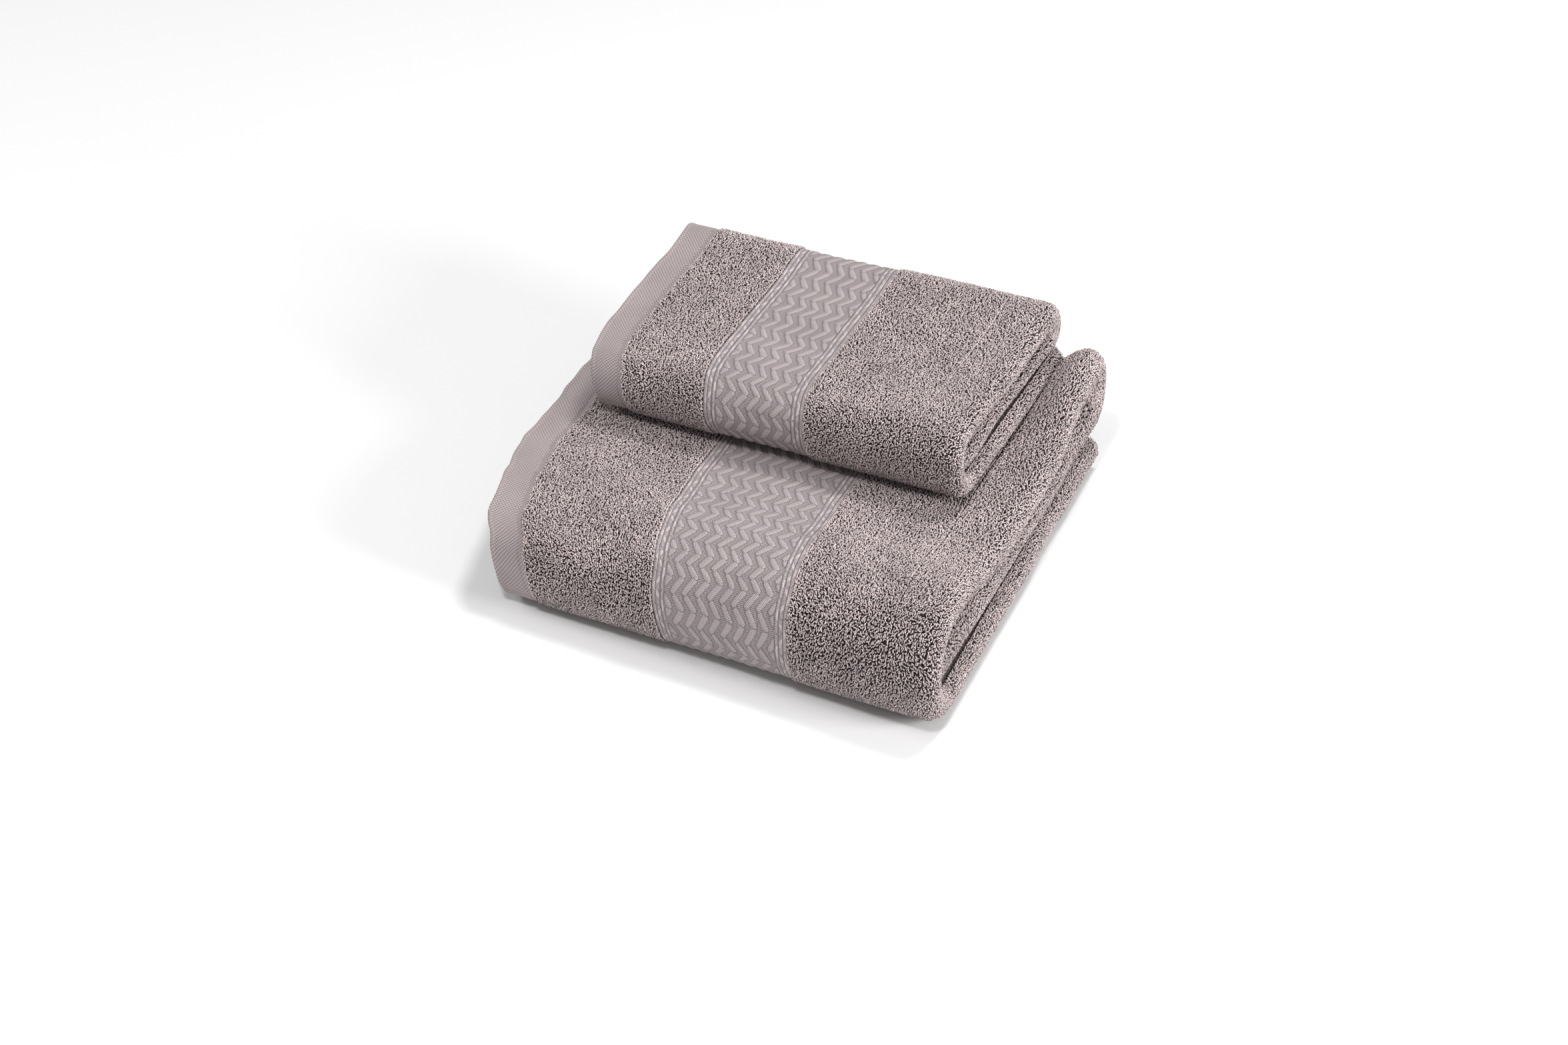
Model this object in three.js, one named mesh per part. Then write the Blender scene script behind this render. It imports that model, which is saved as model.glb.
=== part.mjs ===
// Bath towel set: a hand towel lying folded on a folded bath towel.
// Millimetres, +Z up. The long side of the bath towel runs along X, its hems at -X and its end folds
// at +X. The spine of the lengthwise fold faces -Y. The origin is the middle of the bath towel's
// underside, on the surface that the set lies on.
import * as THREE from 'three';

// Each towel is folded crosswise into a stack, and the stack is folded lengthwise in thirds: the lower
// third lies at the bottom, the upper third on top, and the tucked third between them.
const BATH = {
  name: 'bath',
  length: 358, // along X, over the upper third
  depth: 318, // along Y at the hem end, from the front spine to the back spine
  flare: 18, // how much further back the back spine lies at the end with the crosswise folds
  stackAtHems: 19, // thickness of one third at the hem end
  stackAtFolds: 28.5, // thickness of one third at the end with the crosswise folds
  crest: 14, // how far the front spine stands above the top that the hand towel lies on
  crestSlope: 62, // from the crest back to that flat top
  hem: 26, // width of the turned and sewn hem
  endPile: 104, // pile between the hem and the border
  border: 108, // flat woven border
  lowerReach: 3, // how far the lower third's end fold stands out past the upper third's
  tuckedReach: -3, // the same for the tucked third
  lowerSetback: 16, // from the back spine to the free edge of the lower third
};

const HAND = {
  name: 'hand',
  length: 292,
  depth: 178,
  flare: 0,
  stackAtHems: 18,
  stackAtFolds: 20.5,
  crest: 0,
  crestSlope: 30,
  hem: 25,
  endPile: 68,
  border: 80,
  lowerReach: 4,
  tuckedReach: 6,
  lowerSetback: 8,
};

// Where the hand towel lies on the bath towel.
const HAND_OFFSET_X = -7;
const HAND_OFFSET_Y = 78;
const HAND_TURN = THREE.MathUtils.degToRad(-2.4);

const PILE_STEP = 3; // how far the pile stands above the flat border and hem
const FRONT_REACH = 1.2; // depth of the front spine's rounding, in stack thicknesses
const TUCK_CLEARANCE = 3; // from the tucked third's free edge to the inside of the front spine
const FREE_EDGE_ROUND = 0.4; // radius of the lower third's free edge, in stack thicknesses
const GAP = 0.3; // between solids that touch
const ARC_STEPS = 8; // straight steps in a quarter turn

const MATERIALS = {
  pile: new THREE.MeshStandardMaterial({ color: 0x9d9092, roughness: 0.95, metalness: 0 }),
  border: new THREE.MeshStandardMaterial({ color: 0xb5a7a8, roughness: 0.85, metalness: 0 }),
  hem: new THREE.MeshStandardMaterial({ color: 0xaa9d9f, roughness: 0.88, metalness: 0 }),
};

const QUARTER = Math.PI / 2;

// Thickness of one third of a towel at x.
function stackAt(towel, x) {
  const share = (x + towel.length / 2) / towel.length;
  return THREE.MathUtils.lerp(towel.stackAtHems, towel.stackAtFolds, share);
}

// Where the back spine lies at x.
function backAt(towel, x) {
  const share = (x + towel.length / 2) / towel.length;
  return towel.depth / 2 + towel.flare * share;
}

// How far the whole folded towel rises per millimetre of X.
function topSlope(towel) {
  return (3 * (towel.stackAtFolds - towel.stackAtHems)) / towel.length;
}

// The angle on the front spine's rounding at which the lower third ends and the upper third begins:
// the height of the lower third's top, half a stack under the middle of the spine.
const SPINE_SPLIT = Math.asin(1 / 3);

// Points (y, z) on an elliptic arc from one angle to another, both ends included.
function arc(centreY, centreZ, radiusY, radiusZ, from, to, steps = ARC_STEPS) {
  return Array.from({ length: steps + 1 }, (_, i) => {
    const angle = THREE.MathUtils.lerp(from, to, i / steps);
    const y = centreY + radiusY * Math.cos(angle);
    return new THREE.Vector2(y, centreZ + radiusZ * Math.sin(angle));
  });
}

// The upper third with the front spine and its crest above the lower third, and the upper half of the
// back spine, anticlockwise.
function upperOutline(towel, x, inset) {
  const stack = stackAt(towel, x);
  const middle = 1.5 * stack;
  const bottom = stack + GAP / 2;
  const front = -towel.depth / 2;
  const reach = FRONT_REACH * stack;
  const back = backAt(towel, x);
  const floor = 2 * stack + GAP / 2;
  const height = middle + towel.crest - inset;
  const crest = arc(front + reach, middle, reach - inset, height, QUARTER, Math.PI).slice(0, -1);
  const spine = arc(front + reach, middle, reach - inset, middle - inset, Math.PI, Math.PI + SPINE_SPLIT, 2);
  spine[spine.length - 1].y = bottom;
  return [
    new THREE.Vector2(front + stack, bottom),
    ...arc(front + reach, middle, reach - stack, floor - middle, Math.PI, QUARTER),
    ...arc(back - stack, floor, stack, stack - GAP / 2 - inset, 0, QUARTER),
    new THREE.Vector2(front + reach + towel.crestSlope, 3 * stack - inset),
    ...crest,
    ...spine,
  ];
}

// The lower third with the front spine under it, anticlockwise.
function lowerOutline(towel, x, inset) {
  const stack = stackAt(towel, x);
  const middle = 1.5 * stack;
  const front = -towel.depth / 2;
  const reach = FRONT_REACH * stack;
  const round = FREE_EDGE_ROUND * stack;
  const edge = backAt(towel, x) - towel.lowerSetback - round;
  const top = stack - GAP / 2;
  const spine = arc(front + reach, middle, reach - inset, middle, SPINE_SPLIT - Math.PI, -QUARTER);
  spine[0].y = top;
  return [
    ...arc(edge, round, round, round, -QUARTER, 0),
    ...arc(edge, top - round, round, round, 0, QUARTER),
    ...spine,
  ];
}

// The tucked third with the lower half of the back spine, anticlockwise.
function tuckedOutline(towel, x) {
  const stack = stackAt(towel, x);
  const nose = stack / 2 - GAP / 2;
  const noseY = -towel.depth / 2 + stack + TUCK_CLEARANCE + nose;
  const back = backAt(towel, x);
  return [
    ...arc(noseY, 1.5 * stack, nose, nose, QUARTER, 3 * QUARTER),
    ...arc(back - stack, 2 * stack - GAP / 2, stack, stack - GAP, -QUARTER, 0),
  ];
}

// A closed solid through two outlines of the same number of points, at two places along X.
function loftAlongX(startX, startOutline, endX, endOutline) {
  const count = startOutline.length;
  const positions = [];
  startOutline.forEach((p) => positions.push(startX, p.x, p.y));
  endOutline.forEach((p) => positions.push(endX, p.x, p.y));
  const triangles = [];
  for (let i = 0; i < count; i += 1) {
    const next = (i + 1) % count;
    triangles.push(i, next, count + i, next, count + next, count + i);
  }
  for (const [a, b, c] of THREE.ShapeUtils.triangulateShape(startOutline, [])) triangles.push(a, c, b);
  for (const [a, b, c] of THREE.ShapeUtils.triangulateShape(endOutline, [])) {
    triangles.push(count + a, count + b, count + c);
  }
  return solidFrom(positions, triangles);
}

// A geometry whose faces point out, whichever way round the triangles were given.
function solidFrom(positions, triangles) {
  let volume = 0;
  const corner = (i) => new THREE.Vector3().fromArray(positions, 3 * i);
  for (let i = 0; i < triangles.length; i += 3) {
    const [a, b, c] = [0, 1, 2].map((k) => corner(triangles[i + k]));
    volume += a.dot(b.cross(c));
  }
  const geometry = new THREE.BufferGeometry();
  geometry.setAttribute('position', new THREE.Float32BufferAttribute(positions, 3));
  geometry.setIndex(volume > 0 ? triangles : triangles.reverse());
  geometry.computeVertexNormals();
  return geometry;
}

// The zones of the weave along the length, from the hem to the end fold.
function zonesOf(towel, endReach) {
  const start = -towel.length / 2;
  const edges = [0, towel.hem, towel.hem + towel.endPile, towel.hem + towel.endPile + towel.border];
  const ends = [...edges.slice(1), towel.length + endReach];
  const kinds = [
    { zone: 'hem', material: MATERIALS.hem, inset: PILE_STEP },
    { zone: 'end_pile', material: MATERIALS.pile, inset: 0 },
    { zone: 'border', material: MATERIALS.border, inset: PILE_STEP },
    { zone: 'main_pile', material: MATERIALS.pile, inset: 0 },
  ];
  return kinds.map((kind, i) => ({
    ...kind,
    from: start + edges[i] + (i > 0 ? GAP / 2 : 0),
    to: start + ends[i] - (i < kinds.length - 1 ? GAP / 2 : 0),
  }));
}

function namedMesh(name, geometry, material) {
  const mesh = new THREE.Mesh(geometry, material);
  mesh.name = name;
  return mesh;
}

// One third of a towel, split into its weave zones.
function zonedThird(towel, third, outline, endReach) {
  return zonesOf(towel, endReach).map(({ zone, material, inset, from, to }) => {
    const geometry = loftAlongX(from, outline(towel, from, inset), to, outline(towel, to, inset));
    return namedMesh(`${towel.name}_${zone}_${third}`, geometry, material);
  });
}

function tuckedThird(towel) {
  const from = -towel.length / 2;
  const to = towel.length / 2 + towel.tuckedReach;
  const geometry = loftAlongX(from, tuckedOutline(towel, from), to, tuckedOutline(towel, to));
  return namedMesh(`${towel.name}_tucked_third`, geometry, MATERIALS.pile);
}

function foldedTowel(towel) {
  const group = new THREE.Group();
  group.add(...zonedThird(towel, 'lower', lowerOutline, towel.lowerReach));
  group.add(tuckedThird(towel));
  group.add(...zonedThird(towel, 'upper', upperOutline, 0));
  return group;
}

// The hand towel lies on the bath towel's sloping top.
function placeOnBath(hand) {
  const slope = Math.atan(topSlope(BATH));
  const seat = new THREE.Group();
  hand.position.set(HAND_OFFSET_X, HAND_OFFSET_Y, GAP);
  hand.rotation.z = HAND_TURN;
  seat.add(hand);
  seat.rotation.y = -slope;
  seat.position.z = 3 * stackAt(BATH, 0);
  return seat;
}

const set = new THREE.Group();
set.add(foldedTowel(BATH));
set.add(placeOnBath(foldedTowel(HAND)));

export default set;
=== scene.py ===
"""Looks of the bath towel set: two towels of cotton terry, each folded crosswise and then in thirds.

Each towel is one closed sheet of cloth, folded as the real one is. The flat woven border and hem, and
the loops of the pile, are pieces that lie on that sheet. Shapes are worked out in millimetres, in the
towel's own frame, and turned into metres in the row frame when a mesh is made.
"""

import math

import bpy
import numpy as np
from mathutils import Matrix, Vector


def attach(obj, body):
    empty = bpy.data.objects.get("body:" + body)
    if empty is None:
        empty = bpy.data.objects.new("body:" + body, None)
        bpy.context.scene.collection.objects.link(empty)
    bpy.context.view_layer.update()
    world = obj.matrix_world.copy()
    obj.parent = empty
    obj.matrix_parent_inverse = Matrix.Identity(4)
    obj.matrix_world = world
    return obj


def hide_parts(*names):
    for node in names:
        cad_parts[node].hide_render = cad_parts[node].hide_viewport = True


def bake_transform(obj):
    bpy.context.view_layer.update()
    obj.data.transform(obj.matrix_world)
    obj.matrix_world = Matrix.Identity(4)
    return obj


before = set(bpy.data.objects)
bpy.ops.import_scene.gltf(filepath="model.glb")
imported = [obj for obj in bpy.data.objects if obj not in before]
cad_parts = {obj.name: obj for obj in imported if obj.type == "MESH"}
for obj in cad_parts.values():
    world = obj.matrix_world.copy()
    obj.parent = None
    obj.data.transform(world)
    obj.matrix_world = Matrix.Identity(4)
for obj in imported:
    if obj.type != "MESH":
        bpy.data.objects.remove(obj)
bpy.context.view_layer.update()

MM = 0.001
PI = math.pi

# The cloth, in millimetres.
PILE = 3.0  # height of the pile on the outside
INNER_PILE = 1.6  # room for the flattened pile on the inside of a stack
CLOTH_SHARE = 0.72  # of a layer's room that the cloth itself fills
SPINE_REACH = 1.2  # depth of the front spine's rounding, in stack thicknesses
SPINE_HEIGHT = 1.5  # height of its middle above the underside, in stack thicknesses
SPINE_SHARE = 0.9  # length of its flattened half turn, as a share of a round one's
NOSE_REACH = 0.78  # from the front spine to the tucked third's edge, in stack thicknesses
BEND_HALF = 1.4  # half the height of the zone round the plane between two bodies
HEM_STAGGER = 2.5  # from one layer's end to the next one's at the hem end
LAYER_STEP = 5.0  # between points along a layer
FOLD_STEPS = 9  # points round a crosswise fold
SPIRAL_STEP = 8.5  # between points along the lengthwise path
SPIRAL_TURN_STEP = 4.6  # the same where that path turns
FLARE_LIMIT = 1.1  # share of the length up to which the flare goes on growing

# The soft lie of the cloth. Waves are a height and a size each way, in millimetres.
HEM_WAVE = (2.2, 34, 40)
HEM_RUCK = (1.3, 12, 9)
HEM_WAVE_REACH = 70  # from the hem, over which its waves die out
FOLD_PUFF = (2.4, 46, 60)
PUFF_START = 60  # before the end folds, where their unevenness starts
PUFF_RISE = 70  # over which it comes in
TOP_ROLL = (1.0, 62, 55)
TOP_DENT = (0.4, 27, 31)
SIDE_ROLL = (1.6, 44, 30)
FRONT_CREST = (-0.36, 0.17)  # place from the towel's middle, and width, as shares of the depth
BACK_CREST = (0.42, 0.16)
CORNER_CREST = (0.46, 0.22)
CORNER_START = 0.87  # share of the length at which the corner starts to rise
CORNER_RISE = 0.09  # share of the length over which it rises
CREST_AT_HEM = 0.8  # height of the front crest at the hem, as a share
CREST_GAIN = 0.2  # what it gains towards the end folds
CREST_RISE = 1.6  # stack thicknesses, above the lower third, over which crests come in
TAPER_SHARE = 0.45  # of the lower third, from its free edge, over which its end is drawn in
SKEW_START = 10  # up the front spine from its lower end, where the skew starts to die out
SKEW_FADE = 0.32  # of the depth, past the spine, over which the skew dies out
SKEW_TUCK = 20  # how far the tucked third's own skew stops short of the spine's
SKEW_UNDER_LOSS = 0.3  # share of the skew that is lost under the towel
SKEW_UNDER_FADE = 130  # from the front spine, over which that is lost
SKEW_POWER = 1.3  # how the skew dies out along the length

# Bake maps: the sheet's two faces, the strips for its two edges, and the margin round each loop.
SIDES_UV_END = 0.96
CAPS_UV = ((0.965, 0.975), (0.985, 0.995))
UV_MARGIN = 0.08

# The loops of the pile, in millimetres.
LOOP_LENGTH = 2.3
LOOP_WIDTH = 0.74
LOOP_BEND = 0.6
LOOP_HEIGHT = 2.1
LOOP_ROOT = -0.4  # height of a loop's two ends, in the cloth
LOOP_RINGS = 4  # of points along a loop
LOOP_SIDES = 3  # round it
LOOP_END_WIDTH = 0.8  # width where the loop leaves the cloth, as a share
LOOP_SWELL = 0.35  # what it gains towards the top
LENGTH_RANGE = (0.75, 1.25)  # shortest and longest loop, as shares
BEND_RANGE = (-1.5, 1.5)  # to one side and the other
HEIGHT_RANGE = (0.7, 1.25)
ARCH_POWER = 0.75  # below 1 the loop rises steeply and is flat on top
UPPER_SIDE_PAINTED_LIGHT = 0.25  # how much more painted light the yarn's upper side gets, as light falling from above
HEADING_DRIFT = (1.1, 26, 22)  # radians, and the size of a patch of loops that lean alike
HEADING_SPREAD = 0.75  # radians
SECTION_TURN = 0.25  # of a side, so that a flat side of the yarn faces up
JITTER = 0.42  # of the spacing
EDGE_MARGIN = 0.9  # from a zone's edge to its first loops
FINE_SPACING = 1.46  # from loop to loop where the pile shows
COARSE_SPACING = 2.7  # where a third lies on another one or on the floor
MOST_LOOPS = 11000  # in one piece
FOLD_ZONE = 25  # how far before the end fold its own pile starts
TURN_SHARE = 0.92  # of the end fold that bears pile

# The border's weave, in millimetres.
BAR_PITCH = 9.8  # from one bar to the next across the border
BAR_ROW = 10.0  # length of one row of bars along the border
BAR_LEAN = 7.8  # how far a bar leans over its row
BAR_HALF_WIDTH = 2.35
BAR_HALF_LENGTHS = (7.3, 6.4)  # in one row and in the next
BAR_HEIGHT = 1.15
BAR_OFFSET = 1.2  # sideways step from one row to the next
BAR_MEAN = 0.68  # a bar's mean height, as a share
BAR_SWING = 0.32  # how much higher its head is, and how much lower its tail
BAR_END_ROUND = 1.4  # length over which each end slopes down
BAR_EVEN = 0.85  # mean of the bars' uneven heights, as a share
BAR_UNEVEN = (0.15, 9, 9)  # waves of that height
DRAWN_LENGTHWISE = (0.5, 13, 17)  # waves in the lie of the bars
DRAWN_CROSSWISE = (0.8, 23, 15)
STRIPE = 9.6  # width of the cords along each side of the border
STRIPE_FADE = 1.2  # from the stripe to where the bars have their full height
CORDS = ((1.3, 1.1), (4.7, 1.5), (8.1, 1.1))  # place in the stripe, and half width
CORD_SHARE = 0.65  # of the bars' raised yarn
CORD_HEIGHT = 0.9
DASH_PITCH = 4.2  # along the middle cord
DASH_DEPTH = 0.12
BORDER_THICKNESS = 0.35
BORDER_STEP = 0.8  # between points of the mesh

# The hem's weave, in millimetres.
HEM_THREAD = 2.6  # from one raised thread to the next
HEM_THREAD_HEIGHT = 0.32
HEM_THICKNESS = 0.3
HEM_EDGE = (1.6, 1.8)  # place and half width of the turned edge
HEM_EDGE_HEIGHT = 0.5
STITCH_INSET = 3.2  # from the pile to the seam
STITCH_WIDTH = 0.6
STITCH_DEPTH = 0.4
TUCK_HEIGHT = 0.35
TUCK_RISE = 1.5
HEM_STEP = 0.5  # between points of the mesh

# Both overlays, in millimetres.
LAP = 1  # how far the border and the hem reach in under the pile
SUNK = -0.6  # height of an overlay's edge, in the cloth
SUNK_END = -1.2  # the same at the visible end of the hem
ZONE_WAVE = (0.8, 17, 1)  # how the zones' edges wander
WANDER_FADE = 60  # before the end fold, over which the pile stops wandering with them
HIDDEN_STEP = 4.0  # between points where the weave is hidden
SHOWN_FROM = 20  # how far under the front spine the weave still shows


# ---------------------------------------------------------------- noise and curves


def smooth(t):
    """A smooth step from 0 to 1."""
    t = np.clip(t, 0, 1)
    return t * t * (3 - 2 * t)


def lattice(ix, iy, seed):
    """A fixed random number from -1 to 1 for each whole point."""
    mixed = ix.astype(np.int64) * 374761393 + iy.astype(np.int64) * 668265263 + seed * 144269504
    mixed &= 0x7FFFFFFF
    mixed = ((mixed ^ (mixed >> 13)) * 1274126177) & 0x7FFFFFFF
    return ((mixed ^ (mixed >> 16)) & 0xFFFF) / 32767.5 - 1.0


def ripple(x, y, seed):
    """Smooth noise from -1 to 1, with cells of size 1."""
    x, y = np.broadcast_arrays(x, y)
    ix, iy = np.floor(x), np.floor(y)
    fx, fy = smooth(x - ix), smooth(y - iy)
    near = lattice(ix, iy, seed) * (1 - fx) + lattice(ix + 1, iy, seed) * fx
    far = lattice(ix, iy + 1, seed) * (1 - fx) + lattice(ix + 1, iy + 1, seed) * fx
    return near * (1 - fy) + far * fy


def waves(kind, x, y, seed):
    """Soft waves, given as a height and the size of a wave each way."""
    height, size_x, size_y = kind
    return height * ripple(x / size_x, y / size_y, seed)


def bump_at(x, centre, width):
    """A round hill of height 1."""
    return np.exp(-(((x - centre) / width) ** 2))


# ---------------------------------------------------------------- the folded towel


class Towel:
    """A towel folded crosswise into a stack of layers, with the stack folded lengthwise in thirds.

    length and depth are its sides as it lies, and flare is what the depth gains towards the end folds.
    thin and thick are one third's thickness at the hem end and at the end folds. hem, end_pile and
    border are the widths of the zones. The three reaches say how far each third's end folds stand
    out, and back_taper how far the lower third's are drawn in towards its free edge, which lies
    setback from the back spine. front_reach moves the front spine forward. front_skew and hem_bulge
    draw the cloth along X. The crests and uneven are heights of the soft lie of the top.
    """

    def __init__(self, name, seat, **sizes):
        self.name = name
        self.seat = seat
        self.__dict__.update(sizes)
        self.hem_x = -self.length / 2
        self.border_from = self.hem + self.end_pile
        self.border_to = self.border_from + self.border
        end = self.length / 2 + self.upper_reach
        self.turn_x = end - PILE - self.loop_radius(end)
        self.turn_a = self.turn_x - self.hem_x
        self.turn_length = PI * self.loop_radius(self.turn_x)
        self.breaks = self.path_breaks()

    def stack(self, x):
        """Thickness of one third at x."""
        return self.thin + (self.thick - self.thin) * (x - self.hem_x) / self.length

    def core(self, x):
        """Room for the layers in a third, without the pile outside and inside."""
        return self.stack(x) - PILE - INNER_PILE

    def half_cloth(self):
        """Half the cloth's thickness, as a share of the core."""
        return CLOTH_SHARE / 2 / self.layers

    def loop_radius(self, x):
        """Outer radius of the end fold that joins the outermost and the innermost layer."""
        return (0.5 - 0.5 / self.layers + self.half_cloth()) * self.core(x)

    def path_breaks(self):
        """Ends of the lengthwise path's parts: lower third, spine, upper third, spine, tucked third."""
        stack = self.stack(0)
        straight = self.depth - (SPINE_REACH + 1) * stack
        lengths = [
            self.depth - self.setback - SPINE_REACH * stack,
            PI * SPINE_SHARE * SPINE_HEIGHT * stack,
            straight,
            PI * stack,
            straight + (SPINE_REACH - NOSE_REACH) * stack,
        ]
        return np.concatenate([[0], np.cumsum(lengths)])

    def reach(self, v):
        """How far the end folds stand out past the upper third's, along the lengthwise path."""
        b = self.breaks
        lower = (self.lower_reach - self.upper_reach) * (1 - smooth((v - b[1]) / (b[2] - b[1])))
        lower = lower - self.back_taper * (1 - smooth(v / (TAPER_SHARE * b[1])))
        tucked = (self.tucked_reach - self.upper_reach) * smooth((v - b[3]) / (b[4] - b[3]))
        return lower + tucked

    def skew(self, x, v):
        """How far the cloth is drawn towards +X round the front spine, most of all at the hem."""
        b = self.breaks
        back_again = b[3] - (v - b[4]) / (b[5] - b[4]) * (b[3] - b[1] - SKEW_TUCK)
        v = np.where(v > b[4], back_again, v)
        fade = b[2] + SKEW_FADE * self.depth - b[1] - SKEW_START
        over = 1 - smooth((v - b[1] - SKEW_START) / fade)
        under = 1 - SKEW_UNDER_LOSS * smooth((b[1] - v) / SKEW_UNDER_FADE)
        share = np.clip((x - self.hem_x) / self.length, 0, 1)
        drawn = self.front_skew * over * under * (1 - share**SKEW_POWER)
        return drawn - self.hem_bulge * (1 - share)

    def spiral(self, x, n, v):
        """The point at height n in the stack, v along the lengthwise path."""
        stack = self.stack(x)
        b = self.breaks
        part = [np.clip((v - b[i]) / (b[i + 1] - b[i]), 0, 1) for i in range(5)]
        share = np.clip((x - self.hem_x) / self.length, 0, FLARE_LIMIT)
        front, back = -self.depth / 2 - self.front_reach, self.depth / 2 + self.flare * share
        turn = front + SPINE_REACH * stack
        back_turn = back - stack
        edge = back - self.setback
        nose = front + NOSE_REACH * stack
        rho = stack / 2 + n
        squeeze = SPINE_REACH / SPINE_HEIGHT
        ys = [
            edge + (turn - edge) * part[0],
            turn - squeeze * rho * np.sin(PI * part[1]),
            turn + (back_turn - turn) * part[2],
            back_turn + n * np.sin(PI * part[3]),
            back_turn + (nose - back_turn) * part[4],
        ]
        zs = [
            stack - n,
            SPINE_HEIGHT * stack - rho * np.cos(PI * part[1]),
            2 * stack + n,
            2 * stack + n * np.cos(PI * part[3]),
            2 * stack - n,
        ]
        which = np.clip(np.searchsorted(b, v, side="right") - 1, 0, 4)
        y = np.choose(which, [np.broadcast_to(q, v.shape) for q in ys])
        z = np.choose(which, [np.broadcast_to(q, v.shape) for q in zs])
        return y, z

    def lie(self, x, n, v):
        """The point x, n, v with the soft, uneven lie of the cloth, in the towel's own frame."""
        x, n, v = np.broadcast_arrays(x, n, v)
        near_hem = 1 - smooth((x - self.hem_x) / HEM_WAVE_REACH)
        near_turn = smooth((x - self.turn_x + PUFF_START) / PUFF_RISE)
        wave = waves(HEM_WAVE, v, n, self.seed) + waves(HEM_RUCK, v, n, self.seed + 1)
        puff = waves(FOLD_PUFF, v, n, self.seed + 2)
        moved = x + wave * near_hem + puff * near_turn + self.skew(x, v)
        y, z = self.spiral(x, n, v)
        stack = self.stack(x)
        above = smooth((z - stack) / (CREST_RISE * stack))
        uneven = waves(TOP_ROLL, x, y, self.seed + 3) + waves(TOP_DENT, x, y, self.seed + 4)
        z = z + above * (self.crest(x, y) + self.uneven * uneven)
        side = np.sin(PI * np.clip(z / (3 * stack), 0, 1))
        y = y + side * waves(SIDE_ROLL, x, z, self.seed + 5)
        return np.stack([moved, y, z], -1)

    def crest(self, x, y):
        """How far the top stands up along the front, along the back and at the back corner."""
        across = y / self.depth
        along = (x - self.hem_x) / self.length
        front = self.front_crest * bump_at(across, *FRONT_CREST) * (CREST_AT_HEM + CREST_GAIN * along)
        back = self.back_crest * bump_at(across, *BACK_CREST)
        corner = self.corner_crest * bump_at(across, *CORNER_CREST)
        return front + back + corner * smooth((along - CORNER_START) / CORNER_RISE)

    def zone_wave(self, v):
        """How far the edges between the zones of the weave wander along the length."""
        return waves(ZONE_WAVE, v, 0 * v, self.seed + 8)

    def outer(self, a, v, h):
        """h above the outermost cloth face, a from the hem along it, over the end fold and beyond."""
        a, v, h = np.broadcast_arrays(a, v, h)
        end = self.turn_x + self.reach(v)
        start = self.hem_x + self.border_to
        share = (a - self.border_to) / (self.turn_a - self.border_to)
        x = np.where(a < self.border_to, self.hem_x + a, start + (end - start) * np.minimum(share, 1))
        top = INNER_PILE + (1 - 0.5 / self.layers + self.half_cloth()) * self.core(x)
        angle = np.maximum(a - self.turn_a, 0) / self.turn_length * PI
        rho = self.loop_radius(end) + h
        middle = INNER_PILE + 0.5 * self.core(end)
        turned = a > self.turn_a
        n = np.where(turned, middle + rho * np.cos(angle), top + h)
        x = np.where(turned, end + rho * np.sin(angle), x)
        return self.lie(x, n, v)

    def inner(self, a, v, h):
        """h off the innermost cloth face, which lies against the next third."""
        a, v, h = np.broadcast_arrays(a, v, h)
        x = self.hem_x + a
        n = INNER_PILE + (0.5 / self.layers - self.half_cloth()) * self.core(x) - h
        return self.lie(x, n, v)

    def place(self, points):
        """Points from the towel's own frame in millimetres to the row frame in metres."""
        seat = np.array(self.seat)
        return (points @ seat[:3, :3].T + seat[:3, 3]) * MM


def hand_seat(bath, offset_x, offset_y, gap, turn):
    """The frame of a towel that lies on the bath towel's sloping top."""
    slope = math.atan(3 * (bath.thick - bath.thin) / bath.length)
    tilt = Matrix.Translation((0, 0, 3 * bath.stack(0))) @ Matrix.Rotation(-slope, 4, "Y")
    return tilt @ Matrix.Translation((offset_x, offset_y, gap)) @ Matrix.Rotation(turn, 4, "Z")


BATH = Towel(
    "bath",
    Matrix.Identity(4),
    flat=(0.9, 1.4),
    length=358,
    depth=318,
    flare=18,
    thin=19,
    thick=28.5,
    hem=26,
    end_pile=104,
    border=108,
    upper_reach=-1,
    lower_reach=0,
    tucked_reach=-3,
    setback=21,
    layers=4,
    front_reach=0,
    back_taper=2,
    front_skew=40,
    hem_bulge=5,
    front_crest=18,
    back_crest=4,
    corner_crest=20,
    uneven=1.6,
    seed=11,
)
HAND = Towel(
    "hand",
    hand_seat(BATH, offset_x=-7, offset_y=78, gap=0.3, turn=math.radians(-2.4)),
    flat=(0.5, 0.9),
    length=292,
    depth=178,
    flare=0,
    thin=18,
    thick=20.5,
    hem=25,
    end_pile=68,
    border=80,
    upper_reach=4,
    lower_reach=4,
    tucked_reach=3,
    setback=8,
    layers=3,
    front_reach=6,
    back_taper=0,
    front_skew=13,
    hem_bulge=0,
    front_crest=2.5,
    back_crest=3.0,
    corner_crest=0,
    uneven=1.1,
    seed=53,
)


# ---------------------------------------------------------------- meshes


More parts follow.
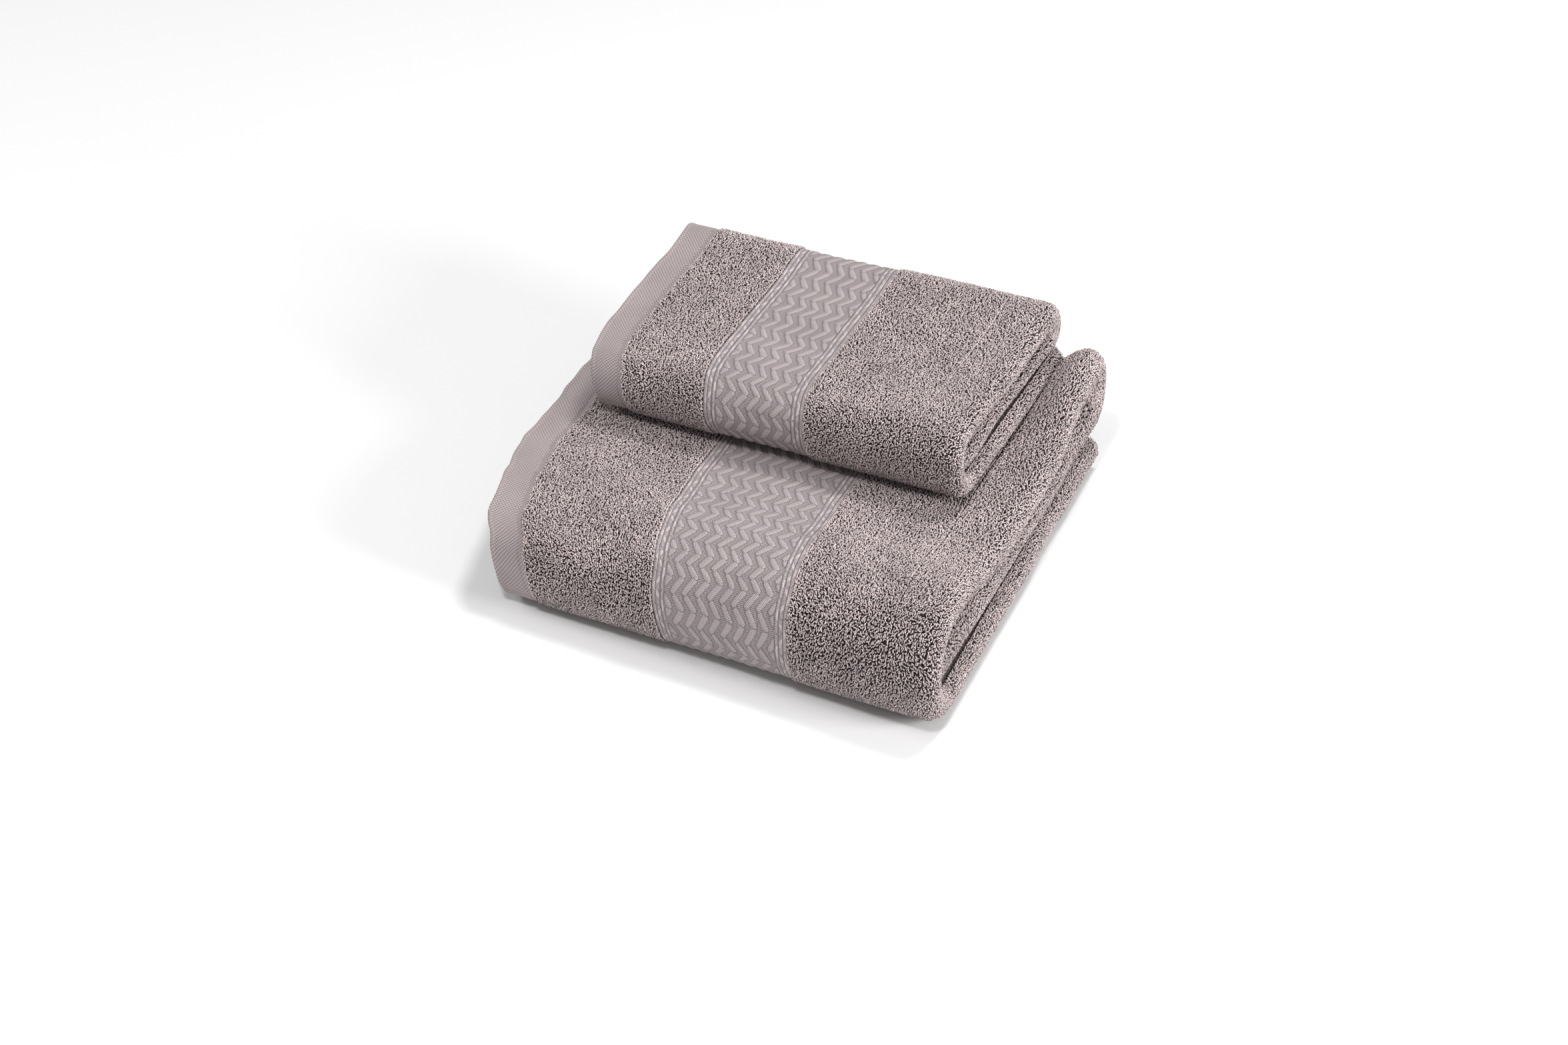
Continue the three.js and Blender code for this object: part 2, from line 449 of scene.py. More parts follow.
def make_piece(name, points, quads, material, bake_uv, attributes):
    """A mesh piece from points in metres and quads, with its bake map and point attributes."""
    mesh = bpy.data.meshes.new(name)
    mesh.vertices.add(len(points))
    mesh.vertices.foreach_set("co", points.astype(np.float32).ravel())
    mesh.loops.add(quads.size)
    mesh.loops.foreach_set("vertex_index", quads.astype(np.int32).ravel())
    mesh.polygons.add(len(quads))
    mesh.polygons.foreach_set("loop_start", np.arange(0, quads.size, 4, dtype=np.int32))
    mesh.update(calc_edges=True)
    mesh.polygons.foreach_set("use_smooth", np.ones(len(quads), bool))
    layer = mesh.uv_layers.new(name="OFBake")
    layer.data.foreach_set("uv", bake_uv.astype(np.float32).ravel())
    for key, values in attributes.items():
        kind, field = ("FLOAT_VECTOR", "vector") if values.ndim == 2 else ("FLOAT", "value")
        attribute = mesh.attributes.new(key, kind, "POINT")
        attribute.data.foreach_set(field, values.astype(np.float32).ravel())
    mesh.materials.append(material)
    piece = bpy.data.objects.new(name, mesh)
    bpy.context.scene.collection.objects.link(piece)
    return piece


def grid_quads(rows, columns, closed=False):
    """Quads over a grid of points, with the last column joined to the first where it is closed."""
    i = np.arange(rows - 1)[:, None]
    j = np.arange(columns if closed else columns - 1)[None, :]
    k = (j + 1) % columns
    quad = [i * columns + j, i * columns + k, (i + 1) * columns + k, (i + 1) * columns + j]
    return np.stack([np.broadcast_to(q, (rows - 1, j.shape[1])).ravel() for q in quad], -1)


def grid_uv(rows, columns, low=(0.0, 0.0), high=(1.0, 1.0)):
    """Bake map of a grid's quads, in the order of grid_quads."""
    u = np.linspace(low[0], high[0], columns)
    w = np.linspace(low[1], high[1], rows)
    corners = [(0, 0), (0, 1), (1, 1), (1, 0)]
    out = np.zeros((rows - 1, columns - 1, 4, 2))
    for c, (dr, dc) in enumerate(corners):
        out[:, :, c, 0] = u[None, dc : columns - 1 + dc]
        out[:, :, c, 1] = w[dr : rows - 1 + dr, None]
    return out.reshape(-1, 2)


def steps(start, end, size):
    """Evenly spaced values from start to end, both included, no further apart than size."""
    return np.linspace(start, end, max(2, int(math.ceil(abs(end - start) / size)) + 1))


def path_steps(towel, size, turn_size):
    """Places along the lengthwise path, closer where it turns."""
    b = towel.breaks
    sizes = [size, turn_size, size, turn_size, size]
    pieces = [steps(b[i], b[i + 1], sizes[i])[:-1] for i in range(5)]
    return np.concatenate(pieces + [[b[5]]])


class Crosswise:
    """The line of the cloth through a stack's layers, as samples of a centre, a radius and a side."""

    def __init__(self):
        self.samples = []

    def layer(self, q, start, end, side):
        """A flat layer at height q of the core, from x start to x end."""
        for x in steps(start, end, LAYER_STEP):
            self.samples.append((x, q, 0.0, 0.0, 1.0, side))

    def fold(self, q, next_q, x, way):
        """A half turn at x, towards +X or -X, from height q of the core to height next_q."""
        down = 1 if q > next_q else -1
        for angle in np.linspace(0, PI, FOLD_STEPS + 2)[1:-1]:
            across = way * math.sin(angle)
            up = down * math.cos(angle)
            self.samples.append((x, (q + next_q) / 2, abs(q - next_q) / 2, across, up, -way * down))

    def arrays(self):
        """Each quantity as a column."""
        return [np.array(column)[:, None] for column in zip(*self.samples)]


def crosswise_line(towel):
    """From the hidden hem to the visible one: down through the stack, and then round it to the top."""
    line = Crosswise()
    top = towel.layers - 1
    heights = [(layer + 0.5) / towel.layers for layer in [*range(top - 1, -1, -1), top]]
    way = 1 if towel.layers % 2 == 0 else -1
    x = towel.hem_x + HEM_STAGGER if way > 0 else towel.turn_x - HEM_STAGGER
    for q, next_q in zip(heights, heights[1:]):
        end = towel.turn_x if way > 0 else towel.hem_x + 2 * HEM_STAGGER
        line.layer(q, x, end, -way)
        line.fold(q, next_q, end, way)
        x = end
        way = -way
    line.layer(heights[-1], x, towel.hem_x, -way)
    return line


def cloth_face(towel, line, v, offset):
    """One face of the whole folded sheet: offset is +1 for the front of the cloth, -1 for its back."""
    x, q, radius, across, up, side = line.arrays()
    v = v[None, :]
    start = towel.hem_x + towel.border_to
    share = np.clip((x - start) / (towel.turn_x - start), 0, 1)
    x = x + towel.reach(v) * share
    core = towel.core(x)
    half = offset * side * towel.half_cloth() * core
    flat = radius == 0
    n = INNER_PILE + q * core + np.where(flat, half, up * (radius * core + half))
    x = x + np.where(flat, 0, across * (radius * core + half))
    return towel.lie(x, n, np.broadcast_to(v, x.shape))


def cloth(towel, material):
    """The whole sheet, closed: both faces of the cloth and its edges."""
    line = crosswise_line(towel)
    v = path_steps(towel, SPIRAL_STEP, SPIRAL_TURN_STEP)
    face = cloth_face(towel, line, v, 1)
    back = cloth_face(towel, line, v, -1)
    ring = np.concatenate([face, back[::-1]], 0).transpose(1, 0, 2)
    rows, columns = ring.shape[:2]
    sides = grid_quads(rows, columns, closed=True)
    half = columns // 2
    j = np.arange(half - 1)
    caps = []
    for row, order in ((0, 1), (rows - 1, -1)):
        quad = np.stack([j, columns - 1 - j, columns - 2 - j, j + 1], -1)[:, ::order]
        caps.append(quad + row * columns)
    quads = np.concatenate([sides, *caps])
    uv = [grid_uv(rows, columns + 1, (0, 0), (1, SIDES_UV_END))]
    uv += [grid_uv(2, half, (0, low), (1, high)) for low, high in CAPS_UV]
    points = towel.place(ring.reshape(-1, 3))
    attributes = {"unshaded": unshaded_share(line, rows).ravel()}
    return make_piece(f"{towel.name}_cloth", points, quads, material, np.concatenate(uv), attributes)


def unshaded_share(line, rows):
    """1 where the cloth shows by itself in its own colour, 0 where the outside's pile covers it and the
    cloth gets painted shade.
    """
    _, q, radius, *_ = (column[:, 0] for column in line.arrays())
    outside = (q == q.max()) | (radius == radius.max())
    unshaded = np.concatenate([np.where(outside, 0.0, 1.0), np.ones(q.size)])
    unshaded = np.tile(unshaded, (rows, 1))
    unshaded[[0, -1]] = 1.0
    unshaded[:, [q.size - 1]] = 1.0
    return unshaded


# ---------------------------------------------------------------- border and hem


def cord_profile(distance, centre, half):
    """The round top of a cord."""
    return np.sqrt(np.clip(1 - ((distance - centre) / half) ** 2, 0, 1))


def bar_relief(across, along):
    """Rows of raised bars that lean to one side and the other in turn, each head over the next tail.

    Gives the height, from 0 to 1, and how far along its bar each place is.
    """
    slant = math.hypot(BAR_LEAN, BAR_ROW)
    height = np.zeros_like(across)
    place = np.zeros_like(across)
    for step in (-1, 0, 1):
        row = np.floor(along / BAR_ROW) + step
        odd = np.mod(row, 2)
        lean = (1 - 2 * odd) * BAR_LEAN
        up = along - (row + 0.5) * BAR_ROW
        shift = up * lean / BAR_ROW
        off = np.mod(across - odd * BAR_OFFSET - shift + BAR_PITCH / 2, BAR_PITCH) - BAR_PITCH / 2
        side = off * BAR_ROW / slant
        length = up * slant / BAR_ROW + off * lean / slant
        body = np.sqrt(np.clip(1 - (side / BAR_HALF_WIDTH) ** 2, 0, 1))
        half = np.where(odd > 0, BAR_HALF_LENGTHS[1], BAR_HALF_LENGTHS[0])
        rise = BAR_MEAN + BAR_SWING * np.clip(length / half, -1, 1) * (1 - 2 * odd)
        ends = smooth((half - np.abs(length)) / BAR_END_ROUND)
        bar = body * rise * ends
        place = np.where(bar > height, length, place)
        height = np.maximum(height, bar)
    return height, place


def border_relief(towel, a, v):
    """Height of the border's weave over the cloth, how much is raised yarn, and the place along a bar."""
    from_edge = np.minimum(a - towel.border_from, towel.border_to - a)
    inside = smooth((from_edge - STRIPE) / STRIPE_FADE)
    drawn_a = a + waves(DRAWN_LENGTHWISE, a, v, towel.seed + 6)
    drawn_v = v + waves(DRAWN_CROSSWISE, v, a, towel.seed + 7)
    bars, place = bar_relief(drawn_a - towel.border_from - STRIPE, drawn_v)
    bars = bars * inside * (BAR_EVEN + waves(BAR_UNEVEN, a, v, towel.seed + 10))
    dashes = 1 - DASH_DEPTH + DASH_DEPTH * np.cos(2 * PI * v / DASH_PITCH)
    outer, middle, inner = (cord_profile(from_edge, *cord) for cord in CORDS)
    cords = CORD_SHARE * (outer + dashes * middle + inner)
    raised = np.clip(bars + cords, 0, 1)
    return BORDER_THICKNESS + BAR_HEIGHT * bars + CORD_HEIGHT * cords, raised, place


def hem_relief(towel, a, v):
    """Height of the hem's weave over the cloth: staggered threads, a turned edge and a sewn tuck."""
    turn = 2 * PI / HEM_THREAD
    threads = 0.5 + 0.5 * np.cos(turn * a) * np.cos(turn * v)
    edge = HEM_EDGE_HEIGHT * cord_profile(a, *HEM_EDGE)
    stitches = towel.hem - STITCH_INSET
    seam = -STITCH_DEPTH * bump_at(a, stitches, STITCH_WIDTH)
    tuck = TUCK_HEIGHT * smooth((stitches - a) / TUCK_RISE)
    return HEM_THICKNESS + HEM_THREAD_HEIGHT * threads + edge + seam + tuck, threads, 0 * a


def overlay(towel, name, material, start, end, size, relief):
    """A flat-woven zone that lies on the cloth, with its edges turned down into it."""
    b = towel.breaks
    a = steps(start, end, size)
    shown_from = b[1] - SHOWN_FROM
    v = np.concatenate([
        steps(0, shown_from, HIDDEN_STEP)[:-1],
        steps(shown_from, b[4], size)[:-1],
        steps(b[4], b[5], HIDDEN_STEP),
    ])
    grid_a, grid_v = np.meshgrid(a, v)
    height, raised, place = relief(towel, grid_a, grid_v)
    at_visible_end = start == 0
    height[:, 0] = SUNK_END if at_visible_end else SUNK
    height[:, -1] = SUNK
    height[0] = height[-1] = SUNK
    wander = towel.zone_wave(grid_v)
    if at_visible_end:
        wander = wander * smooth((grid_a - start) / (end - start))
    points = towel.place(towel.outer(grid_a + wander, grid_v, height).reshape(-1, 3))
    rows, columns = grid_a.shape
    weave = np.stack([grid_a * MM, grid_v * MM, place * MM], -1).reshape(-1, 3)
    attributes = {"weave": weave, "raised": raised.ravel()}
    quads = grid_quads(rows, columns)
    return make_piece(f"{towel.name}_{name}", points, quads, material, grid_uv(rows, columns), attributes)


# ---------------------------------------------------------------- pile


def scatter(rng, a_range, v_range, spacing):
    """Evenly spread places with a random lie."""
    a = np.arange(a_range[0], a_range[1], spacing) + spacing / 2
    v = np.arange(v_range[0], v_range[1], spacing) + spacing / 2
    grid_a, grid_v = (g.ravel() for g in np.meshgrid(a, v))
    jitter = rng.uniform(-JITTER, JITTER, (2, grid_a.size)) * spacing
    grid_a = np.clip(grid_a + jitter[0], a_range[0] + EDGE_MARGIN, a_range[1] - EDGE_MARGIN)
    grid_v = grid_v + jitter[1]
    return grid_a, grid_v


def loop_quads(count):
    """Quads of count bent tubes, each with its rings joined and its two ends left in the cloth."""
    ring = grid_quads(LOOP_RINGS, LOOP_SIDES, closed=True)
    start = np.arange(count)[:, None, None] * LOOP_RINGS * LOOP_SIDES
    return (ring[None] + start).reshape(-1, 4)


def loop_uv(count):
    """Bake map with a cell of its own for each tube."""
    cells = int(math.ceil(math.sqrt(count)))
    low, high = UV_MARGIN, 1 - UV_MARGIN
    one = grid_uv(LOOP_RINGS, LOOP_SIDES + 1, (low, low), (high, high))
    index = np.arange(count)
    corner = np.stack([index % cells, index // cells], -1)[:, None, :]
    return ((one[None] + corner) / cells).reshape(-1, 2)


def yarn_paths(towel, surface, a, v, rng):
    """Centre lines of loops that stand at a, v, with the way up and how high each point is."""
    count = a.size
    heading = PI / 2 + waves(HEADING_DRIFT, a, v, towel.seed + 9)
    heading = heading + rng.normal(0, HEADING_SPREAD, count)
    length = LOOP_LENGTH * rng.uniform(*LENGTH_RANGE, count)
    bend = LOOP_BEND * rng.uniform(*BEND_RANGE, count)
    tall = LOOP_HEIGHT * rng.uniform(*HEIGHT_RANGE, count)
    part = np.linspace(-1, 1, LOOP_RINGS)[None, :]
    arch = 1 - part**2
    run = length[:, None] / 2 * part
    off = bend[:, None] * (arch - 0.5)
    ca, sa = np.cos(heading)[:, None], np.sin(heading)[:, None]
    line_a = a[:, None] + run * ca - off * sa
    line_v = v[:, None] + run * sa + off * ca
    high = LOOP_ROOT + (tall[:, None] - LOOP_ROOT) * arch**ARCH_POWER
    centre = surface(line_a, line_v, high)
    up = surface(line_a, line_v, high + 0.5) - centre
    return centre, up, np.broadcast_to(arch, centre.shape[:2])


def unit(vectors):
    """The vectors at length 1."""
    return vectors / np.linalg.norm(vectors, axis=-1, keepdims=True)


def tubes(centre, up, arch):
    """Points round each centre line, thinner towards its ends, and the painted light on each: painted
    shade towards the roots in the cloth, more light on the upper side.
    """
    forward = unit(np.gradient(centre, axis=1))
    side = unit(np.cross(forward, up))
    up = np.cross(side, forward)
    angle = 2 * PI * (np.arange(LOOP_SIDES) + SECTION_TURN) / LOOP_SIDES
    radius = LOOP_WIDTH / 2 * (LOOP_END_WIDTH + LOOP_SWELL * arch)[..., None, None]
    ring = np.cos(angle)[:, None] * side[:, :, None] + np.sin(angle)[:, None] * up[:, :, None]
    tip = arch[:, :, None] + UPPER_SIDE_PAINTED_LIGHT * np.sin(angle)[None, None, :]
    return centre[:, :, None] + radius * ring, np.clip(tip, 0, 1)


def loops(towel, name, material, surface, a_range, v_range, spacing, rng):
    """The pile between two places along each way of the cloth, every loop a short bent tube."""
    a, v = scatter(rng, a_range, v_range, spacing)
    a = a + towel.zone_wave(v) * smooth((towel.turn_a - a) / WANDER_FADE)
    parts = int(math.ceil(a.size / MOST_LOOPS))
    pieces = []
    for index, chosen in enumerate(np.array_split(np.argsort(v), parts)):
        centre, up, arch = yarn_paths(towel, surface, a[chosen], v[chosen], rng)
        points, tip = tubes(centre, up, arch)
        tone = np.broadcast_to(rng.uniform(0, 1, chosen.size)[:, None, None], tip.shape)
        placed = towel.place(points.reshape(-1, 3))
        label = f"{towel.name}_{name}_{index + 1}"
        attributes = {"tip": tip.ravel(), "tone": tone.ravel()}
        quads, uv = loop_quads(chosen.size), loop_uv(chosen.size)
        pieces.append(make_piece(label, placed, quads, material, uv, attributes))
    return pieces


# ---------------------------------------------------------------- materials

YARN_TIP = (0.72, 0.605, 0.6, 1)
# painted shade: the colour of the loops' roots, where they dip into the cloth
YARN_ROOT_SHADE = (0.025, 0.015, 0.016, 1)
# painted shade: the ground's colours under the pile, where the loops shade it
SHADED_GROUND_KNOT = (0.07, 0.05, 0.052, 1)
SHADED_GROUND_GAP = (0.02, 0.013, 0.014, 1)
BARE_KNOT = (0.43, 0.365, 0.372, 1)
BARE_GAP = (0.22, 0.182, 0.187, 1)
DOT = (0.80, 0.70, 0.705, 1)
DOT_GAP = (0.22, 0.18, 0.183, 1)
SILK = (0.56, 0.485, 0.49, 1)
SILK_SHADE = (0.30, 0.25, 0.255, 1)
HEM_YARN = (0.50, 0.43, 0.433, 1)
HEM_GAP = (0.19, 0.155, 0.158, 1)

# Noise and cells, per metre.
PATCHES = 38.0
FIBRES = 3200.0
KNOTS = 520.0

# From thread to thread, in metres.
BORDER_THREAD = 0.0011
HEM_FINE_THREAD = 0.0006

SHEEN_ROUGHNESS = 0.45
SPECULAR = 0.25


class Shader:
    """A Principled material with a few short ways to add its nodes."""

    def __init__(self, name):
        self.material = bpy.data.materials.new(name)
        self.material.use_nodes = True
        self.tree = self.material.node_tree
        self.surface = self.tree.nodes["Principled BSDF"]

    def link(self, source, target):
        self.tree.links.new(source, target)

    def node(self, kind, **inputs):
        made = self.tree.nodes.new(kind)
        for key, value in inputs.items():
            socket = made.inputs[key.replace("_", " ")]
            if isinstance(value, bpy.types.NodeSocket):
                self.link(value, socket)
            else:
                socket.default_value = value
        return made

    def attribute(self, name, output="Fac"):
        made = self.tree.nodes.new("ShaderNodeAttribute")
        made.attribute_name = name
        return made.outputs[output]

    def position(self):
        return self.tree.nodes.new("ShaderNodeTexCoord").outputs["Object"]

    def noise(self, scale, vector=None, detail=2.0):
        made = self.node("ShaderNodeTexNoise", Scale=scale, Detail=detail)
        self.link(vector or self.position(), made.inputs["Vector"])
        return made.outputs["Fac"]

    def maths(self, operation, first, second):
        made = self.tree.nodes.new("ShaderNodeMath")
        made.operation = operation
        for socket, value in zip(made.inputs, (first, second)):
            if isinstance(value, bpy.types.NodeSocket):
                self.link(value, socket)
            else:
                socket.default_value = value
        return made.outputs[0]

    def remap(self, value, low, high, to_low, to_high):
        made = self.node("ShaderNodeMapRange", Value=value)
        for index, number in enumerate((low, high, to_low, to_high), start=1):
            made.inputs[index].default_value = number
        return made.outputs[0]

    def mix(self, factor, first, second, blend="MIX"):
        made = self.tree.nodes.new("ShaderNodeMix")
        made.data_type = "RGBA"
        made.blend_type = blend
        for index, value in ((0, factor), (6, first), (7, second)):
            if isinstance(value, bpy.types.NodeSocket):
                self.link(value, made.inputs[index])
            else:
                made.inputs[index].default_value = value
        return made.outputs[2]

    def grey(self, value):
        """A value as a colour."""
        made = self.node("ShaderNodeCombineColor", Red=value, Green=value, Blue=value)
        return made.outputs[0]

    def bump(self, height, distance, strength):
        made = self.node("ShaderNodeBump", Height=height, Distance=distance, Strength=strength)
        self.link(made.outputs[0], self.surface.inputs["Normal"])

    def finish(self, colour, roughness, sheen):
        self.link(colour, self.surface.inputs["Base Color"])
        self.link(roughness, self.surface.inputs["Roughness"])
        self.surface.inputs["Sheen Weight"].default_value = sheen
        self.surface.inputs["Sheen Roughness"].default_value = SHEEN_ROUGHNESS
        self.surface.inputs["Specular IOR Level"].default_value = SPECULAR
        return self.material


def patchy(shader, colour, low, high):
    """A colour with the soft light and dark patches of brushed and pressed cloth."""
    patches = shader.noise(PATCHES, detail=3.0)
    shade = shader.grey(shader.remap(patches, 0.3, 0.7, low, high))
    return shader.mix(1.0, colour, shade, "MULTIPLY")


def loop_material():
    """Yarn with painted shade at its root and painted light at its tip and upper side, a little different
    in tone from loop to loop.
    """
    shader = Shader("terry_loops")
    tip = shader.attribute("tip")
    tone = shader.attribute("tone")
    # painted light along each loop, from painted shade at the root to full light at the tip
    lit = shader.remap(tip, 0.35, 1.0, 0.0, 1.0)
    yarn = shader.mix(lit, YARN_ROOT_SHADE, YARN_TIP)
    each = shader.remap(tone, 0.0, 1.0, 0.7, 1.2)
    yarn = shader.mix(1.0, yarn, shader.grey(each), "MULTIPLY")
    colour = patchy(shader, yarn, 0.85, 1.09)
    fibres = shader.noise(FIBRES, detail=3.0)
    shader.bump(fibres, 0.0004, 0.6)
    roughness = shader.remap(fibres, 0.3, 0.7, 0.85, 0.98)
    return shader.finish(colour, roughness, 0.25)


def ground_material():
    """The knotted weave, with painted shade where the loops cover it, and in its own lighter colour where
    the cloth shows by itself.
    """
    shader = Shader("terry_ground")
    roots = shader.node("ShaderNodeTexVoronoi", Scale=KNOTS)
    shader.link(shader.position(), roots.inputs["Vector"])
    knots = shader.remap(roots.outputs["Distance"], 0.0, 0.7, 1.0, 0.0)
    # painted shade under the pile
    base = shader.mix(knots, SHADED_GROUND_GAP, SHADED_GROUND_KNOT)
    plain = shader.mix(knots, BARE_GAP, BARE_KNOT)
    base = shader.mix(shader.attribute("unshaded"), base, plain)
    colour = patchy(shader, base, 0.9, 1.1)
    shader.bump(knots, 0.0012, 0.9)
    return shader.finish(colour, shader.remap(knots, 0.0, 1.0, 0.98, 0.88), 0.2)


def weave_coordinates(shader, thread):
    """The place across the weave, along it and along a bar, counted in threads."""
    split = shader.node("ShaderNodeSeparateXYZ", Vector=shader.attribute("weave", "Vector"))
    return [shader.maths("MULTIPLY", place, 1 / thread) for place in split.outputs]


def thread_wave(shader, value):
    """A thread's round top, from 0 to 1, once for each whole number."""
    turned = shader.maths("MULTIPLY", value, 2 * PI)
    return shader.remap(shader.maths("COSINE", turned, 0.0), -1.0, 1.0, 0.0, 1.0)


def border_material():
    """Silky raised yarn over a ground of small dots, with painted shade along the foot of each raised
    bar.
    """
    shader = Shader("border_weave")
    raised = shader.attribute("raised")
    across, along, bar = weave_coordinates(shader, BORDER_THREAD)
    float_yarn = thread_wave(shader, bar)
    dots = shader.maths("MULTIPLY", thread_wave(shader, across), thread_wave(shader, along))
    flat = shader.mix(dots, DOT_GAP, DOT)
    silky = shader.mix(float_yarn, SILK_SHADE, SILK)
    woven = shader.mix(shader.remap(raised, 0.05, 0.4, 0.0, 1.0), flat, silky)
    # painted shade: a dark line where each bar rises from the ground
    past_rim = shader.maths("SUBTRACT", raised, 0.14)
    from_rim = shader.maths("ABSOLUTE", past_rim, 0.0)
    bar_foot_shade = shader.remap(from_rim, 0.0, 0.16, 0.42, 1.0)
    woven = shader.mix(1.0, woven, shader.grey(bar_foot_shade), "MULTIPLY")
    colour = patchy(shader, woven, 0.94, 1.06)
    threads = shader.mix(raised, shader.grey(dots), shader.grey(float_yarn))
    shader.bump(threads, 0.0006, 0.8)
    roughness = shader.remap(raised, 0.0, 1.0, 0.9, 0.7)
    return shader.finish(colour, roughness, 0.3)


def hem_material():
    """Threads that stand out light against the gaps between them."""
    shader = Shader("hem_weave")
    threads = shader.attribute("raised")
    across, along, _ = weave_coordinates(shader, HEM_FINE_THREAD)
    fine = shader.maths("MULTIPLY", thread_wave(shader, across), thread_wave(shader, along))
    lit = shader.remap(threads, 0.1, 0.9, 0.0, 1.0)
    base = shader.mix(lit, HEM_GAP, HEM_YARN)
    colour = patchy(shader, base, 0.94, 1.06)
    shader.bump(fine, 0.0002, 0.5)
    return shader.finish(colour, shader.remap(threads, 0.0, 1.0, 0.92, 0.8), 0.3)


# ---------------------------------------------------------------- the set


def pieces_of(towel, materials):
    """All the pieces of a towel, each riding on its third, or baked into the row frame where it lies
    between two.
    """
    rng = np.random.default_rng(towel.seed)
    b = towel.breaks
    fold_from = towel.turn_a - FOLD_ZONE
    zones = {
        "end": (towel.hem, towel.border_from),
        "main": (towel.border_to, fold_from),
        "fold": (fold_from, towel.turn_a + towel.turn_length * TURN_SHARE),
    }

    def pile(label, v_range, spacing, a_range, surface=towel.outer):
        return loops(towel, label, materials["loops"], surface, a_range, v_range, spacing, rng)

    body = cloth(towel, materials["ground"])
    border_range = (towel.border_from - LAP, towel.border_to + LAP)
    border = overlay(
        towel, "border_weave", materials["border"], *border_range, BORDER_STEP, border_relief
    )
    hem = overlay(towel, "hem_weave", materials["hem"], 0, towel.hem + LAP, HEM_STEP, hem_relief)
    spines, lower, upper = [], [], []
    for zone, reach in zones.items():
        hidden = FINE_SPACING if zone == "fold" else COARSE_SPACING
        flat = (reach[0], min(reach[1], towel.turn_a))
        spines += pile(f"{zone}_pile_spine", (b[1], b[2]), FINE_SPACING, reach)
        upper += pile(f"{zone}_pile_top", (b[2], b[4]), FINE_SPACING, reach)
        lower += pile(f"{zone}_pile_underside", (0, b[1]), hidden, reach)
        upper += pile(f"{zone}_pile_tucked", (b[4], b[5]), hidden, reach)
        lower += pile(f"{zone}_pile_inside", (0, b[1]), hidden, flat, towel.inner)
        if zone == "fold":
            upper += pile(f"{zone}_pile_between", (b[2], b[5]), FINE_SPACING, flat, towel.inner)
    place_on_bodies(towel, lower, upper, [body, border, hem, *spines])
    declare(towel)


def place_on_bodies(towel, lower, upper, bent):
    """The thirds ride on their bodies. What crosses the plane between them is baked into the row frame.
    """
    for piece in lower:
        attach(piece, f"{towel.name}_lower")
    for piece in upper:
        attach(piece, f"{towel.name}_upper")
    tilt = math.atan((towel.thick - towel.thin) / towel.length)
    across = np.array([-math.sin(tilt), 0, math.cos(tilt)])
    middle = np.array([0, -towel.depth / 2, towel.stack(0)])
    start, end = towel.place(np.array([middle - BEND_HALF * across, middle + BEND_HALF * across]))
    for piece in bent:
        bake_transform(piece)


def declare(towel):
    """Hides the CAD parts that the pieces stand in for."""
    name = towel.name
    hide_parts(f"{name}_border_lower", f"{name}_border_upper")
    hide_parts(f"{name}_hem_lower", f"{name}_hem_upper")
    thirds = [f"{name}_{zone}_pile_{third}" for zone in ("end", "main") for third in ("lower", "upper")]
    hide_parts(f"{name}_tucked_third", *thirds)


# ---------------------------------------------------------------- stage, lights and camera

FLOOR_SIZE = 14
FLOOR_DROP = 0.0005  # under the towel, so that the two never share a plane
FLOOR_COLOUR = (0.86, 0.86, 0.86, 1)
FLOOR_ROUGHNESS = 0.8
LIGHT_AIM = Vector((0, 0, 0.05))
LIGHTS = {  # place and size in metres, power in watts
    "key": ((0.35, 0.6, 2.2), 0.45, 21.5),
    "left": ((-1.7, -0.4, 1.3), 0.6, 9),
    "right": ((1.8, -0.1, 0.8), 0.7, 30),
    "fill": ((0.1, -1.1, 2.3), 0.35, 21),
}
SKY_COLOUR = (1, 1, 1, 1)
SKY_STRENGTH = 0.3
CAMERA_AZIMUTH = math.radians(24.8)
CAMERA_ELEVATION = math.radians(42)
CAMERA_DISTANCE = 2.43
CAMERA_AIM = Vector((0.009, -0.025, 0.030))
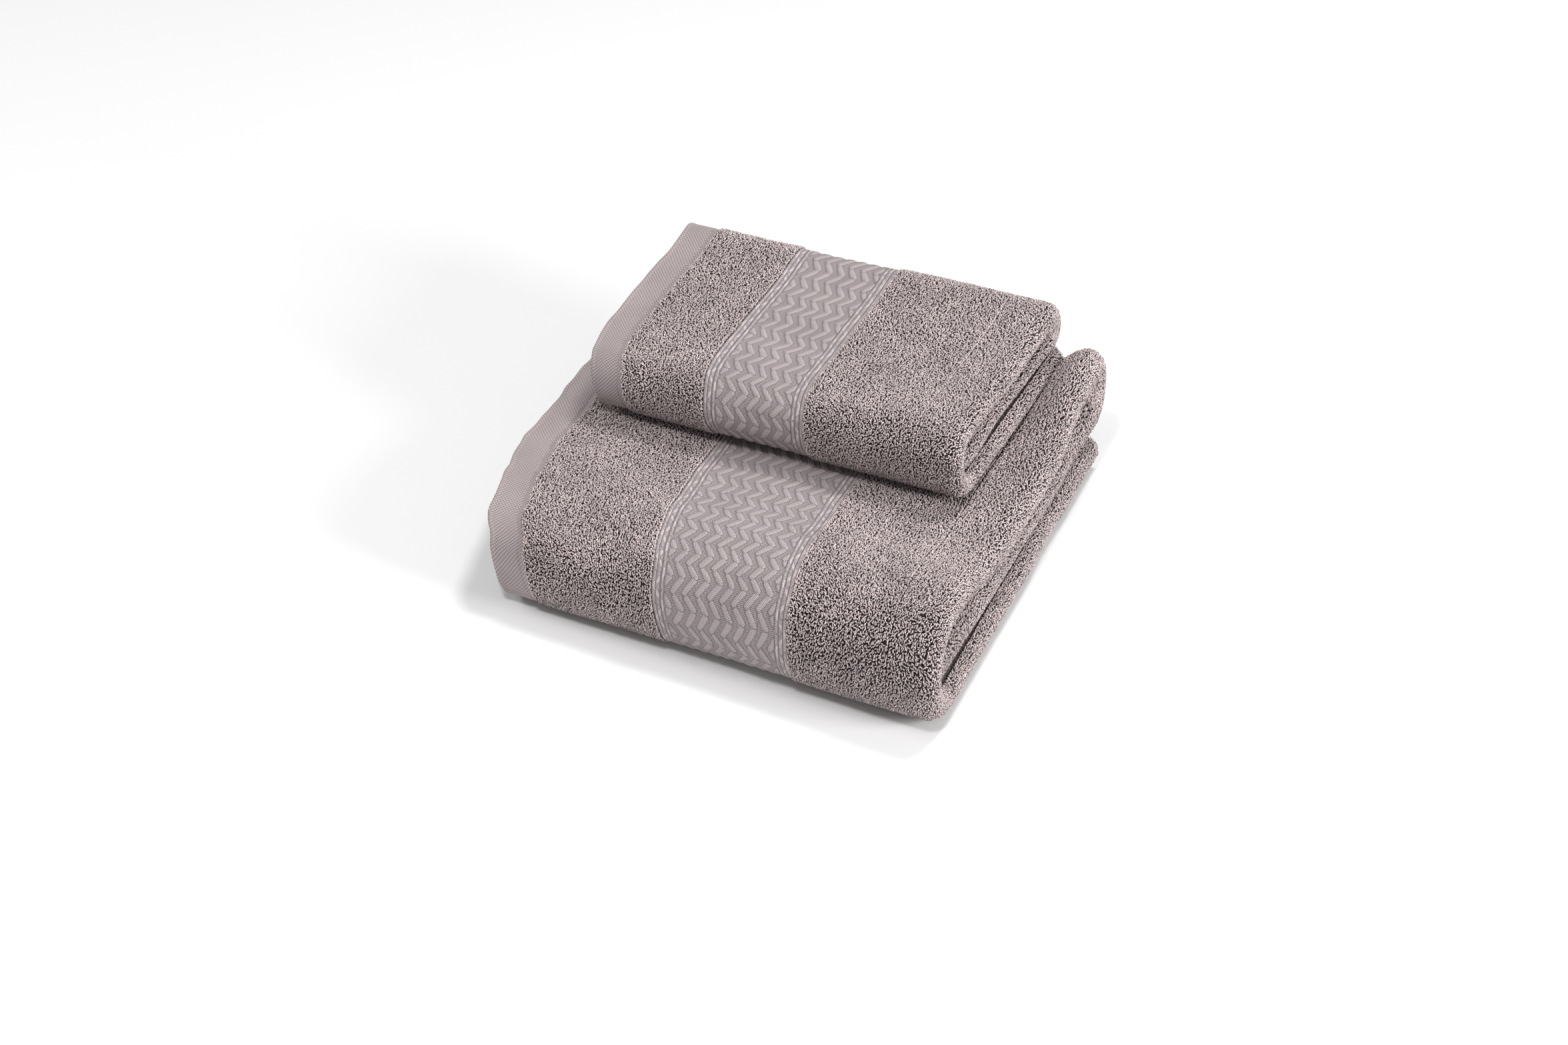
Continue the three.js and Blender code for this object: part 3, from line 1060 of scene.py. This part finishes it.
CAMERA_LENS = 79.6  # millimetres, as is the sensor's width
SENSOR_WIDTH = 36


def make_floor():
    bpy.ops.mesh.primitive_plane_add(size=FLOOR_SIZE, location=(0, 0, -FLOOR_DROP))
    floor = bpy.context.object
    floor.name = "floor"
    material = bpy.data.materials.new("floor")
    material.use_nodes = True
    surface = material.node_tree.nodes["Principled BSDF"]
    surface.inputs["Base Color"].default_value = FLOOR_COLOUR
    surface.inputs["Roughness"].default_value = FLOOR_ROUGHNESS
    floor.data.materials.append(material)


def area_light(name, place, size, power):
    light = bpy.data.lights.new(name, "AREA")
    light.shape = "DISK"
    light.size = size
    light.energy = power
    lamp = bpy.data.objects.new(name, light)
    lamp.location = place
    lamp.rotation_euler = (LIGHT_AIM - Vector(place)).to_track_quat("-Z", "Y").to_euler()
    bpy.context.scene.collection.objects.link(lamp)


def make_lights():
    for name, (place, size, power) in LIGHTS.items():
        area_light(name, place, size, power)
    world = bpy.data.worlds.new("studio")
    world.use_nodes = True
    sky = world.node_tree.nodes["Background"]
    sky.inputs["Color"].default_value = SKY_COLOUR
    sky.inputs["Strength"].default_value = SKY_STRENGTH
    bpy.context.scene.world = world


def make_camera():
    away = Vector((
        math.sin(CAMERA_AZIMUTH) * math.cos(CAMERA_ELEVATION),
        -math.cos(CAMERA_AZIMUTH) * math.cos(CAMERA_ELEVATION),
        math.sin(CAMERA_ELEVATION),
    ))
    data = bpy.data.cameras.new("camera")
    data.lens = CAMERA_LENS
    data.sensor_width = SENSOR_WIDTH
    camera = bpy.data.objects.new("camera", data)
    camera.location = CAMERA_AIM + CAMERA_DISTANCE * away
    camera.rotation_euler = (-away).to_track_quat("-Z", "Y").to_euler()
    bpy.context.scene.collection.objects.link(camera)
    bpy.context.scene.camera = camera


make_camera()
make_floor()
make_lights()
bpy.context.scene.view_settings.view_transform = "Standard"

MATERIALS = {
    "loops": loop_material(),
    "ground": ground_material(),
    "border": border_material(),
    "hem": hem_material(),
}
for each in (BATH, HAND):
    pieces_of(each, MATERIALS)
